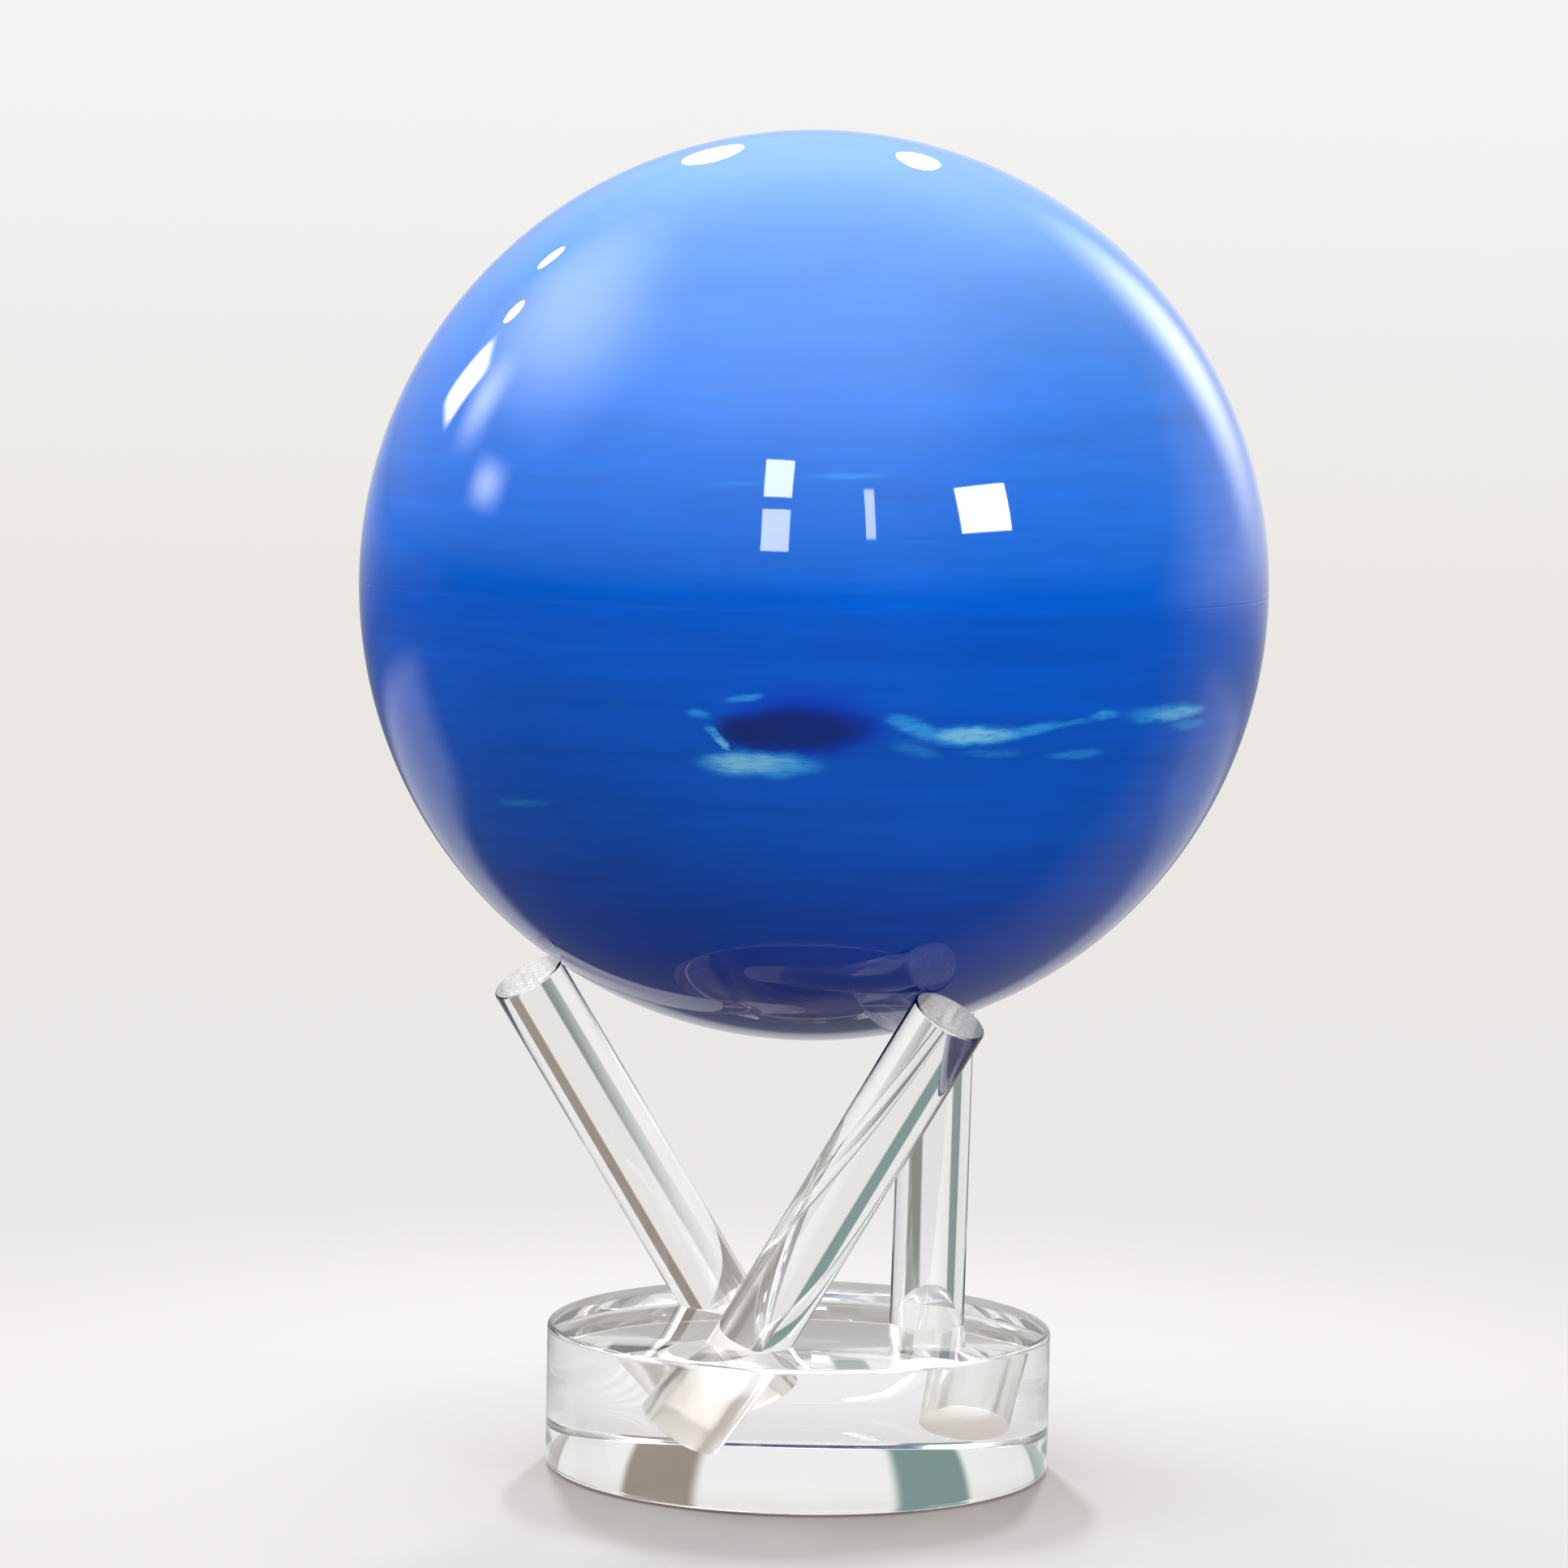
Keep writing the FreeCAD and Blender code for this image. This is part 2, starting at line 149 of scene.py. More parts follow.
class Shader:
    """A material or world under construction, with short calls for the nodes that they use."""

    def __init__(self, owner, output="OutputMaterial"):
        owner.use_nodes = True
        self.owner = owner
        self.tree = owner.node_tree
        self.tree.nodes.clear()
        self.output = self.node(output)

    def node(self, kind, inputs=None, **settings):
        made = self.tree.nodes.new("ShaderNode" + kind)
        for key, value in settings.items():
            setattr(made, key, value)
        for key, value in (inputs or {}).items():
            self.put(made.inputs[key], value)
        return made

    def put(self, socket, value):
        if isinstance(value, bpy.types.NodeSocket):
            self.tree.links.new(value, socket)
        else:
            socket.default_value = value

    def place(self):
        """The piece's own coordinates in metres."""
        return self.node("TexCoord").outputs["Object"]

    def scaled(self, vector, factors):
        return self.node("VectorMath", {0: vector, 1: factors}, operation="MULTIPLY").outputs[0]

    def maths(self, operation, first, second=0.0):
        return self.node("Math", {0: first, 1: second}, operation=operation).outputs[0]

    def noise(self, vector, scale, detail=3.0, roughness=0.55, distortion=0.0):
        inputs = {"Vector": vector, "Scale": scale, "Detail": detail, "Roughness": roughness,
                  "Distortion": distortion}
        return self.node("TexNoise", inputs).outputs["Fac"]

    def remap(self, value, low, high, to_low=0.0, to_high=1.0, smooth=False):
        inputs = {0: value, 1: low, 2: high, 3: to_low, 4: to_high}
        interpolation = "SMOOTHSTEP" if smooth else "LINEAR"
        return self.node("MapRange", inputs, interpolation_type=interpolation, clamp=True).outputs[0]

    def ramp(self, value, stops):
        made = self.node("ValToRGB", {0: value})
        elements = made.color_ramp.elements
        while len(elements) < len(stops):
            elements.new(0.5)
        for element, (position, colour) in zip(elements, stops):
            element.position = position
            element.color = (*colour, 1.0)
        return made.outputs["Color"]

    def mix(self, share, first, second):
        made = self.node("Mix", {0: share}, data_type="RGBA")
        for socket, value in ((made.inputs[6], first), (made.inputs[7], second)):
            self.put(socket, value if isinstance(value, bpy.types.NodeSocket) else (*value, 1.0))
        return made.outputs[2]

    def bump(self, height, distance, strength):
        inputs = {"Height": height, "Distance": distance, "Strength": strength}
        return self.node("Bump", inputs).outputs["Normal"]

    def principled(self, **inputs):
        made = self.node("BsdfPrincipled")
        for key, value in inputs.items():
            name = key.replace("_", " ").title().replace("Ior", "IOR")
            if name == "Base Color" and isinstance(value, tuple):
                value = (*value, 1.0)
            self.put(made.inputs[name], value)
        return made.outputs[0]

    def frosted(self, shader, share):
        """A matt face that also softly passes on the light that falls on its far side."""
        soft = self.node("BsdfTranslucent", {"Color": (0.90, 0.91, 0.92, 1.0)}).outputs[0]
        return self.node("MixShader", {0: share, 1: shader, 2: soft}).outputs[0]

    def let_light_in(self, shader, tint):
        """Glass that lamps and the room's soft light shine straight through, without slow caustics."""
        path = self.node("LightPath")
        for name in ("Is Diffuse Ray", "Is Shadow Ray"):
            clear = self.node("BsdfTransparent", {"Color": (*tint, 1.0)}).outputs[0]
            shader = self.node("MixShader", {0: path.outputs[name], 1: shader, 2: clear}).outputs[0]
        return shader

    def finish(self, shader):
        self.put(self.output.inputs["Surface"], shader)
        return self.owner


def new_material(name):
    return Shader(bpy.data.materials.new(name))


def clear_acrylic(name, tint, scuffs, light_tint):
    """Polished clear acrylic: faint haze where it has been handled, and hair-fine wiping marks."""
    s = new_material(name)
    place = s.place()
    handled = s.remap(s.noise(place, 90.0, 4.0), 0.45, 0.8, 0.0, scuffs, smooth=True)
    wiped = s.noise(s.scaled(place, (1.0, 1.0, 9.0)), 420.0, 2.0)
    hair = s.remap(wiped, 0.66, 0.74, 0.0, scuffs, smooth=True)
    roughness = s.maths("ADD", handled, hair)
    glass = s.principled(base_color=tint, roughness=roughness, ior=ACRYLIC_IOR, transmission_weight=1.0)
    return s.finish(s.let_light_in(glass, light_tint))


def sawn_acrylic():
    """A rod's end: sawn, so it is matt and faintly ridged."""
    s = new_material("sawn_acrylic")
    place = s.place()
    ridges = s.noise(s.scaled(place, (1.0, 6.0, 1.0)), 900.0, 3.0)
    specks = s.noise(place, 1600.0, 5.0, 0.7)
    height = s.maths("ADD", ridges, specks)
    roughness = s.remap(specks, 0.3, 0.7, 0.20, 0.30)
    glass = s.principled(base_color=MATT_TINT, roughness=roughness, ior=ACRYLIC_IOR,
                         transmission_weight=MATT_TRANSMISSION, normal=s.bump(height, 0.00001, 0.25))
    return s.finish(s.let_light_in(s.frosted(glass, 0.22), MATT_LIGHT))


def drilled_acrylic():
    """The wall of a drilled socket: frosted by the drill, with fine rings round it."""
    s = new_material("drilled_acrylic")
    place = s.place()
    rings = s.noise(s.scaled(place, (1.0, 1.0, 4.0)), 1400.0, 3.0)
    roughness = s.remap(rings, 0.3, 0.7, 0.14, 0.26)
    glass = s.principled(base_color=MATT_TINT, roughness=roughness, ior=ACRYLIC_IOR,
                         transmission_weight=MATT_TRANSMISSION, normal=s.bump(rings, 0.00003, 0.4))
    return s.finish(s.let_light_in(s.frosted(glass, 0.30), MATT_LIGHT))


# Planet print. Places and half sizes are in degrees of longitude and latitude; longitude 0 faces -Y.
# Colour by latitude: the print's faint banding, with painted shading on top of it: the blue thins towards the
# brightly lit north and deepens towards the south.
ZONES_AND_PAINTED_SHADE = [
    # latitude, colour
    (-62.0, (0.0006, 0.066, 0.74)),
    (-45.0, (0.0005, 0.086, 0.65)),
    (-30.0, (0.0003, 0.104, 0.63)),
    (-16.0, (0.0003, 0.090, 0.55)),
    (-1.0, (0.0003, 0.080, 0.49)),
    (5.0, (0.0006, 0.104, 0.54)),
    (22.0, (0.0006, 0.103, 0.47)),
    (42.0, (0.0008, 0.103, 0.39)),
]
STORM_BLUE = (0.002, 0.035, 0.47)
STORM_DARK = (0.005, 0.019, 0.15)
CLOUD_CYAN = (0.035, 0.33, 0.78)
CLOUD_PALE = (0.21, 0.55, 0.78)

STORMS = [
    # longitude, latitude, half width, half height, slope, softness, strength, colour
    (-1.0, -14.2, 13.5, 6.6, 0.0, 0.80, 0.80, STORM_BLUE),
    (-1.0, -15.3, 13.0, 4.9, 2.0, 0.60, 0.75, STORM_BLUE),
    (-2.2, -15.4, 12.8, 3.9, 2.0, 0.60, 0.92, STORM_DARK),
    (-9.0, -15.8, 5.2, 3.0, 0.0, 0.80, 0.85, STORM_DARK),
]
CLOUDS = [
    (-7.0, -20.1, 10.5, 2.35, 0.0, 0.60, 1.00, CLOUD_CYAN),
    (-8.2, -20.0, 7.6, 1.75, 0.0, 0.70, 0.90, CLOUD_PALE),
    (-2.5, -20.5, 5.5, 1.1, 2.0, 0.80, 0.45, CLOUD_CYAN),
    (-12.2, -16.7, 2.6, 0.75, -47.0, 0.60, 0.95, CLOUD_CYAN),
    (-11.6, -17.4, 1.5, 0.55, -42.0, 0.80, 0.60, CLOUD_PALE),
    (-14.5, -13.6, 2.2, 0.85, 4.0, 0.70, 0.65, CLOUD_CYAN),
    (-8.6, -11.4, 3.6, 0.75, 9.0, 0.70, 0.75, CLOUD_CYAN),
    (13.4, -14.7, 4.6, 1.45, -16.0, 0.65, 0.85, CLOUD_CYAN),
    (21.5, -15.9, 9.0, 1.75, 1.0, 0.60, 0.95, CLOUD_CYAN),
    (22.0, -15.9, 7.2, 1.25, 1.0, 0.65, 0.90, CLOUD_PALE),
    (30.5, -15.1, 6.5, 1.0, 8.0, 0.70, 0.85, CLOUD_CYAN),
    (37.0, -14.3, 3.5, 0.6, 4.0, 0.80, 0.45, CLOUD_CYAN),
    (14.0, -17.8, 4.8, 1.3, -14.0, 0.85, 0.40, CLOUD_CYAN),
    (25.0, -18.3, 6.5, 0.9, -1.0, 0.85, 0.35, CLOUD_CYAN),
    (38.0, -18.6, 6.5, 0.95, 2.0, 0.80, 0.55, CLOUD_CYAN),
    (41.5, -13.5, 3.6, 0.95, 3.0, 0.70, 0.80, CLOUD_CYAN),
    (54.0, -13.5, 10.5, 1.6, 2.0, 0.60, 0.75, CLOUD_CYAN),
    (56.5, -13.6, 7.5, 1.0, 2.0, 0.70, 0.60, CLOUD_PALE),
    (59.5, -15.2, 6.0, 1.0, 0.0, 0.70, 0.65, CLOUD_CYAN),
    (-45.5, -27.2, 7.5, 0.85, 2.0, 0.85, 0.45, CLOUD_CYAN),
    (4.5, 16.9, 8.0, 0.7, 2.0, 0.85, 0.35, CLOUD_CYAN),
    (-10.0, 15.6, 7.0, 0.6, 4.0, 0.90, 0.20, CLOUD_CYAN),
    (150.0, -31.0, 12.0, 1.4, 3.0, 0.80, 0.70, CLOUD_CYAN),
    (172.0, 24.0, 9.0, 1.0, -2.0, 0.80, 0.55, CLOUD_CYAN),
    (-118.0, -42.0, 14.0, 1.3, 2.0, 0.80, 0.65, CLOUD_CYAN),
    (98.0, 31.0, 10.0, 0.9, 0.0, 0.85, 0.50, CLOUD_CYAN),
]
SOUTH_STORM = (-142.0, -52.0, 9.0, 3.4, 4.0, 0.80, 0.80, STORM_DARK)


def globe_coordinates(s):
    """Longitude and latitude in degrees, as a vector, and the direction from the globe's centre."""
    direction = s.node("VectorMath", {0: s.place()}, operation="NORMALIZE").outputs[0]
    split = s.node("SeparateXYZ", {0: direction}).outputs
    front = s.maths("MULTIPLY", split[1], -1.0)
    longitude = s.maths("DEGREES", s.maths("ARCTAN2", split[0], front))
    latitude = s.maths("DEGREES", s.maths("ARCSINE", split[2]))
    return s.node("CombineXYZ", {0: longitude, 1: latitude}).outputs[0], direction


def spot(s, coordinates, feature):
    """1 inside a soft-edged ellipse on the globe, 0 outside it, times its strength."""
    longitude, latitude, half_width, half_height, slope, softness, strength, _ = feature
    from_centre = s.node("VectorMath", {0: coordinates, 1: (longitude, latitude, 0)},
                         operation="SUBTRACT").outputs[0]
    level = s.node("VectorRotate", {"Vector": from_centre, "Angle": math.radians(-slope)},
                   rotation_type="Z_AXIS").outputs[0]
    unit = s.scaled(level, (1 / half_width, 1 / half_height, 0.0))
    distance = s.node("VectorMath", {0: unit}, operation="LENGTH").outputs["Value"]
    return s.remap(distance, 1.0, 1.0 - softness, 0.0, strength, smooth=True)


def planet_print():
    """The printed planet: deep blue with faint zones, one dark storm and thin bright clouds. The zones'
    colours also carry painted shading: less blue towards the lit top, more towards the bottom.
    """
    s = new_material("planet_print")
    coordinates, direction = globe_coordinates(s)
    zones = s.noise(s.scaled(direction, (0.35, 0.35, 5.0)), 2.2, 5.0, 0.6, 0.25)
    fine_zones = s.noise(s.scaled(direction, (1.2, 1.2, 26.0)), 2.6, 4.0, 0.6, 0.3)
    mottling = s.noise(direction, 5.0, 6.0, 0.6, 0.6)
    shade = s.maths("ADD", s.remap(zones, 0.3, 0.7, -0.10, 0.10), s.remap(fine_zones, 0.3, 0.7, -0.06, 0.06))
    shade = s.maths("ADD", shade, s.remap(mottling, 0.3, 0.7, -0.04, 0.04))
    latitude = s.node("SeparateXYZ", {0: coordinates}).outputs[1]
    stops = [((degrees + 90) / 180, zone_and_painted_shade) for degrees, zone_and_painted_shade in ZONES_AND_PAINTED_SHADE]
    # Zone colour by latitude, with its painted shading: less blue towards the lit top.
    zone_and_painted_shade = s.ramp(s.remap(latitude, -90.0, 90.0), stops)
    light = s.maths("ADD", shade, 1.0)
    colour = s.node("VectorMath", {0: zone_and_painted_shade, "Scale": light}, operation="SCALE").outputs[0]
    rag = s.node("TexNoise", {"Vector": s.scaled(direction, (1.0, 1.0, 2.6)), "Scale": 16.0, "Detail": 5.0,
                              "Roughness": 0.62}).outputs["Color"]
    shift = s.node("VectorMath", {0: rag, 1: (0.5, 0.5, 0.5)}, operation="SUBTRACT").outputs[0]
    soft_edge = s.node("VectorMath", {0: s.scaled(shift, (3.0, 1.4, 0.0)), 1: coordinates}).outputs[0]
    for feature in STORMS + [SOUTH_STORM]:
        colour = s.mix(spot(s, soft_edge, feature), colour, feature[-1])
    fibres = s.noise(s.scaled(direction, (1.0, 1.0, 7.0)), 22.0, 5.0, 0.7)
    fibres = s.remap(fibres, 0.32, 0.56, 0.45, 1.0, smooth=True)
    for feature in CLOUDS:
        share = s.maths("MULTIPLY", spot(s, soft_edge, feature), fibres)
        colour = s.mix(share, colour, feature[-1])
    dots = s.noise(direction, 900.0, 2.0)
    return s.finish(s.principled(base_color=colour, roughness=s.remap(dots, 0.3, 0.7, 0.5, 0.62),
                                 specular_ior_level=0.0))


# ---------------------------------------------------------------- finishes of the inner works

def moulded_plastic(name, dark, light, roughness, grain):
    s = new_material(name)
    place = s.place()
    tone = s.noise(place, 60.0, 4.0)
    fine = s.noise(place, grain, 3.0)
    return s.finish(s.principled(base_color=s.mix(tone, dark, light), normal=s.bump(fine, 0.00003, 0.5),
                                 roughness=s.remap(fine, 0.3, 0.7, roughness - 0.08, roughness + 0.08)))


def worked_metal(name, dark, light, roughness, stretch):
    """Bare metal with tool marks: stretch is how much longer the marks are along each axis."""
    s = new_material(name)
    marks = s.noise(s.scaled(s.place(), stretch), 900.0, 4.0)
    tone = s.noise(s.place(), 140.0, 4.0)
    return s.finish(s.principled(base_color=s.mix(tone, dark, light), metallic=1.0,
                                 roughness=s.remap(marks, 0.3, 0.7, roughness - 0.07, roughness + 0.1),
                                 normal=s.bump(marks, 0.00002, 0.5)))


def circuit_board():
    s = new_material("circuit_board")
    place = s.place()
    weave = s.node("TexBrick", {"Vector": place, "Scale": 260.0, "Mortar Size": 0.03,
                                "Color1": (0.01, 0.10, 0.035, 1), "Color2": (0.012, 0.125, 0.045, 1),
                                "Mortar": (0.02, 0.19, 0.075, 1)}).outputs["Color"]
    tracks = s.node("TexWave", {"Vector": place, "Scale": 55.0, "Distortion": 9.0, "Detail": 1.0},
                    wave_type="RINGS").outputs["Fac"]
    colour = s.mix(s.remap(tracks, 0.86, 0.9), weave, (0.04, 0.30, 0.11))
    return s.finish(s.principled(base_color=colour, roughness=0.34, coat_weight=0.4,
                                 normal=s.bump(tracks, 0.00003, 0.6)))


def silicon():
    s = new_material("silicon")
    place = s.place()
    grains = s.node("TexVoronoi", {"Vector": place, "Scale": 330.0}).outputs["Color"]
    tone = s.node("RGBToBW", {0: grains}).outputs[0]
    fingers = s.node("TexWave", {"Vector": place, "Scale": 160.0, "Distortion": 0.0},
                     wave_profile="SAW").outputs["Fac"]
    colour = s.mix(tone, (0.006, 0.012, 0.06), (0.015, 0.04, 0.17))
    colour = s.mix(s.remap(fingers, 0.9, 0.92), colour, (0.55, 0.56, 0.58))
    return s.finish(s.principled(base_color=colour, roughness=0.22, coat_weight=0.6,
                                 normal=s.bump(fingers, 0.00003, 0.3)))


def wound_copper():
    s = new_material("wound_copper")
    place = s.place()
    turns = s.node("TexWave", {"Vector": place, "Scale": 900.0, "Distortion": 0.6},
                   bands_direction="Z").outputs["Fac"]
    # The colour darkens into the grooves between the turns: painted shade.
    colour = s.mix(turns, (0.24, 0.06, 0.02), (0.72, 0.27, 0.11))
    return s.finish(s.principled(base_color=colour, metallic=1.0,
                                 roughness=s.remap(turns, 0.0, 1.0, 0.42, 0.26),
                                 normal=s.bump(turns, 0.00008, 0.8)))


def ruby():
    s = new_material("ruby")
    depth = s.noise(s.place(), 700.0, 2.0)
    return s.finish(s.principled(base_color=s.mix(depth, (0.25, 0.004, 0.02), (0.5, 0.01, 0.05)),
                                 roughness=s.remap(depth, 0.3, 0.7, 0.04, 0.1)))


def finish_inner_works():
    white = moulded_plastic("globe_plastic", (0.66, 0.68, 0.72), (0.76, 0.77, 0.8), 0.5, 1300.0)
    rubber = moulded_plastic("seal_rubber", (0.012, 0.012, 0.013), (0.02, 0.02, 0.021), 0.7, 2000.0)
    black = moulded_plastic("black_film", (0.008, 0.008, 0.009), (0.015, 0.015, 0.016), 0.6, 1500.0)
    brass = worked_metal("brass", (0.55, 0.38, 0.13), (0.72, 0.52, 0.2), 0.28, (1, 1, 8))
    aluminium = worked_metal("aluminium", (0.58, 0.59, 0.61), (0.7, 0.71, 0.72), 0.35, (8, 1, 1))
    cast = worked_metal("cast_ballast", (0.36, 0.33, 0.25), (0.5, 0.46, 0.36), 0.5, (1, 1, 1))
    steel = worked_metal("steel", (0.45, 0.45, 0.47), (0.56, 0.56, 0.58), 0.22, (1, 1, 12))
    nickel = worked_metal("nickel", (0.6, 0.59, 0.57), (0.7, 0.69, 0.66), 0.16, (1, 1, 1))
    board, cell, copper, jewel = circuit_board(), silicon(), wound_copper(), ruby()
    finishes = {
        "inner_globe_upper": white, "inner_globe_lower": white, "joint_ring": white,
        "plug_seal": rubber, "shade_disc": black, "carrier_plate": board,
        "carrier_screws": brass, "bridge_screws": brass, "magnet_holder": brass,
        "bearing_bridge": aluminium, "bearing_post": aluminium, "ballast_weight": cast,
        "rotor_spindle": steel, "compass_magnet": nickel, "upper_jewel": jewel, "lower_jewel": jewel,
    }
    for index in range(1, 5):
        finishes["solar_cell_%d" % index] = cell
        finishes["drive_coil_%d" % index] = copper
    for node, material in finishes.items():
        slots = frame["nodes"][node].data.materials
        slots.clear()
        slots.append(material)


# ---------------------------------------------------------------- pieces

def clear_ball():
    """The outer globe and its fluid as one clear wall, with the bonded seam and the plug's outline.

    The wall's inner face lies just under the printed skin, so that the fluid wets the print.
    """
    seam_angle = SEAM_HALF_WIDTH / BALL_RADIUS
    plug_angle = PLUG_RADIUS / BALL_RADIUS
    inside = BALL_RADIUS - SEAM_DEPTH
    quarter = math.pi / 2

    def groove(angle):
        around = ((angle - seam_angle, BALL_RADIUS), (angle, inside), (angle + seam_angle, BALL_RADIUS))
        return [(radius * math.cos(a), radius * math.sin(a)) for a, radius in around]

    profile = arc((0, 0), BALL_RADIUS, -quarter, -quarter + plug_angle - 2 * seam_angle, EDGE_STEPS)
    profile += groove(-quarter + plug_angle)
    profile += arc((0, 0), BALL_RADIUS, -quarter + plug_angle + 2 * seam_angle, -2 * seam_angle, ARC_STEPS)
    profile += groove(0.0)
    profile += arc((0, 0), BALL_RADIUS, 2 * seam_angle, quarter, ARC_STEPS)
    inner = arc((0, 0), SKIN_RADIUS - SKIN_THICKNESS / 2, quarter, -quarter, ARC_STEPS)
    for part in (profile, inner):
        part[0] = (0.0, part[0][1])
        part[-1] = (0.0, part[-1][1])
    ball = lathe("clear_ball", profile + inner, closed=True)
    ball.location = BALL_CENTRE
    ball.data.materials.append(clear_acrylic("clear_shell", SHELL_TINT, 0.012, SHELL_LIGHT))
    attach(ball, "outer_globe")
    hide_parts("outer_shell_upper", "outer_shell_lower", "suspension_fluid", "fill_plug")


def printed_skins():
    """The two halves of the printed skin, each a thin closed dome."""
    material = planet_print()
    inside = SKIN_RADIUS - SKIN_THICKNESS
    quarter = math.pi / 2
    for name, node, sign in (("printed_skin_upper", "graphic_skin_upper", 1),
                             ("printed_skin_lower", "graphic_skin_lower", -1)):
        outer = arc((0, 0), SKIN_RADIUS, 0.0, quarter, ARC_STEPS)
        inner = arc((0, 0), inside, quarter, 0.0, ARC_STEPS)
        outer[-1] = (0.0, SKIN_RADIUS)
        inner[0] = (0.0, inside)
        profile = outer + inner
        if sign < 0:
            profile = [(distance, -height) for distance, height in reversed(profile)]
        dome = lathe(name, profile, closed=True)
        dome.location = BALL_CENTRE
        dome.data.materials.append(material)
        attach(dome, "inner_globe")
        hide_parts(node)


def rod_profile(radius, length, edge):
    profile = [(0.0, -length / 2), (radius - edge, -length / 2)]
    profile += arc((radius - edge, -length / 2 + edge), edge, -math.pi / 2, 0.0, EDGE_STEPS)[1:]
    profile += arc((radius - edge, length / 2 - edge), edge, 0.0, math.pi / 2, EDGE_STEPS)
    profile.append((0.0, length / 2))
    return profile


def rod_pose(index):
    """Where a rod's middle is and how it leans: the middle of its box, and the design's angles."""
    low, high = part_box("support_rod_%d" % (index + 1))
    lean = FIRST_ROD_LEAN + FULL_TURN / ROD_COUNT * index
    turn = Matrix.Rotation(lean, 4, "Z") @ Matrix.Rotation(ROD_TILT, 4, "Y")
    return Matrix.Translation((low + high) / 2) @ turn


def support_rods(clear, sawn):
    for index in range(ROD_COUNT):
        rod = lathe("clear_rod_%d" % (index + 1), rod_profile(ROD_RADIUS, ROD_LENGTH, ROD_EDGE), ROD_STEPS)
        rod.matrix_world = rod_pose(index)
        rod.data.materials.append(clear)
        rod.data.materials.append(sawn)
        for face in rod.data.polygons:
            if abs(face.normal.z) > 0.999:
                face.material_index = 1
        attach(rod, "stand")
        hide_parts("support_rod_%d" % (index + 1))


def base_disc(clear, drilled):
    """The polished disc with its three slanting sockets cut out of it."""
    quarter = math.pi / 2
    rim = DISC_RADIUS - DISC_EDGE
    profile = arc((rim, DISC_EDGE), DISC_EDGE, -quarter, 0.0, EDGE_STEPS)
    profile += arc((rim, DISC_HEIGHT - DISC_EDGE), DISC_EDGE, 0.0, quarter, EDGE_STEPS)
    disc = lathe("clear_disc", profile)
    disc.data.materials.append(clear)
    disc.data.materials.append(drilled)
    cutters = []
    for index in range(ROD_COUNT):
        low = -ROD_LENGTH / 2 - SOCKET_END_GAP
        cutter = lathe("socket_cutter", [(SOCKET_RADIUS, low), (SOCKET_RADIUS, -low)], ROD_STEPS)
        cutter.matrix_world = rod_pose(index)
        cutter.data.materials.append(clear)
        cutter.data.materials.append(drilled)
        for face in cutter.data.polygons:
            face.material_index = 1
        cut = disc.modifiers.new("socket", "BOOLEAN")
        cut.operation = "DIFFERENCE"
        cut.solver = "EXACT"
        cut.object = cutter
        cutters.append(cutter)
    bpy.context.view_layer.update()
    keep_result(disc)
    disc.data.set_sharp_from_angle(angle=SHARP_ANGLE)
    for cutter in cutters:
        bpy.data.objects.remove(cutter)
    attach(disc, "stand")
    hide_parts("base_disc")


# ---------------------------------------------------------------- studio

CAMERA_DISTANCE = 0.716
CAMERA_ELEVATION = math.radians(2.95)
CAMERA_TURN = math.radians(0.26)
CAMERA_NOD = math.radians(-2.0)
CAMERA_ROLL = math.radians(1.15)
CAMERA_LENS = 130.4

SOFTBOXES = [
    # name, shape, azimuth from -Y, elevation, width, height, lean to the right (all in degrees, as
    # the ball sees them), brightness, share of the lamp over which it fades to its edges
    ("tall_window_upper", "RECTANGLE", -9.7, 28.5, 7.0, 9.5, 0.0, 20.0, 0.1),
    ("tall_window_lower", "RECTANGLE", -9.7, 16.0, 7.0, 10.5, 0.0, 14.0, 0.1),
    ("narrow_window", "RECTANGLE", 13.8, 20.2, 2.6, 13.0, 0.0, 12.0, 0.2),
    ("square_window", "RECTANGLE", 43.5, 20.3, 13.5, 11.0, 0.0, 28.0, 0.1),
    ("rear_lamp_left", "ELLIPSE", -170.8, 29.9, 4.5, 13.0, 18.0, 330.0, 0.0),
    ("rear_lamp_right", "ELLIPSE", 170.3, 35.0, 3.7, 12.0, -16.0, 330.0, 0.0),
    ("side_lamp_rear", "ELLIPSE", -142.4, 34.7, 3.6, 3.6, 0.0, 60.0, 0.0),
    ("side_lamp_front", "ELLIPSE", -129.3, 33.0, 3.6, 3.6, 0.0, 60.0, 0.0),
    ("left_window", "RECTANGLE", -123.0, 24.0, 10.0, 13.0, 10.0, 19.0, 0.6),
    ("left_curtain", "RECTANGLE", -110.0, 26.0, 16.0, 20.0, -15.0, 5.0, 1.0),
    ("left_low_window", "RECTANGLE", -93.5, 16.0, 17.0, 12.0, 0.0, 6.5, 1.0),
    ("left_high_glow", "ELLIPSE", -103.0, 45.0, 66.0, 46.0, 0.0, 3.0, 1.0),
    ("right_wall", "RECTANGLE", 145.0, 20.0, 30.0, 42.0, 0.0, 3.4, 1.0),
]
SOFTBOX_DISTANCE = 1.4

# The room's brightness by height above the horizon, in degrees
ROOM_GRADIENT = [
    (-90.0, 0.17), (-8.0, 0.15), (0.0, 0.04), (7.0, 0.5), (15.0, 0.77), (32.0, 1.5), (49.0, 2.7), (90.0, 3.7),
]
BRIGHTEST = 3.7
REAR_GLOW = 0.95
REAR_TABLE_GLOW = 0.32
LEFT_GLOW_SHARE = 0.25
LEFT_TABLE_GLOW = 0.62
RIGHT_TABLE_GLOW = 0.30
RIGHT_SHADE = 0.65

FLOOR_DROP = 0.0003
FLOOR_RADIUS = 0.9
SWEEP_BEND = 0.4
SWEEP_HEIGHT = 1.0
FLOOR_ALBEDO = (0.215, 0.208, 0.205)
